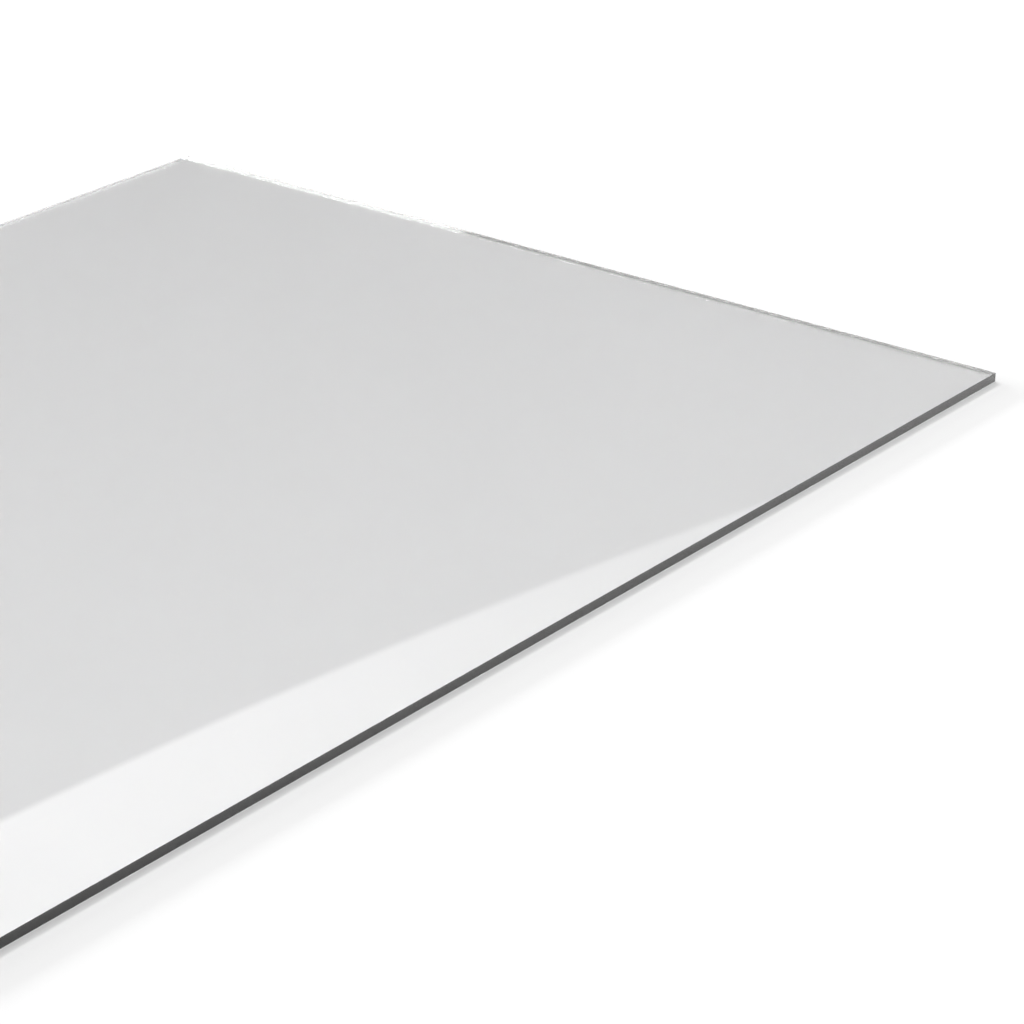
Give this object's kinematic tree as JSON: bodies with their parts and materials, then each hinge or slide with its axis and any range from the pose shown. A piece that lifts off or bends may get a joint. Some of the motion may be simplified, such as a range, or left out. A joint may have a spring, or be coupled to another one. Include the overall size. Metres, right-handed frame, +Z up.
{
  "type": "clear acrylic sheet",
  "caption": "Flat rectangular sheet of clear cast acrylic with square-cut, polished edges and a small arris round both faces; it lies flat.",
  "frame": {"origin": "middle of the underside, on the surface that the sheet lies on", "axes": "+X along the long side, +Y across the sheet along the short side, +Z up through the thickness, out of the top face"},
  "size_m": [0.841, 0.594, 0.005],
  "materials": {
    "clear_acrylic": "polished"
  },
  "bodies": {
    "root": {"acrylic_sheet": "clear_acrylic"}
  },
  "joints": []
}
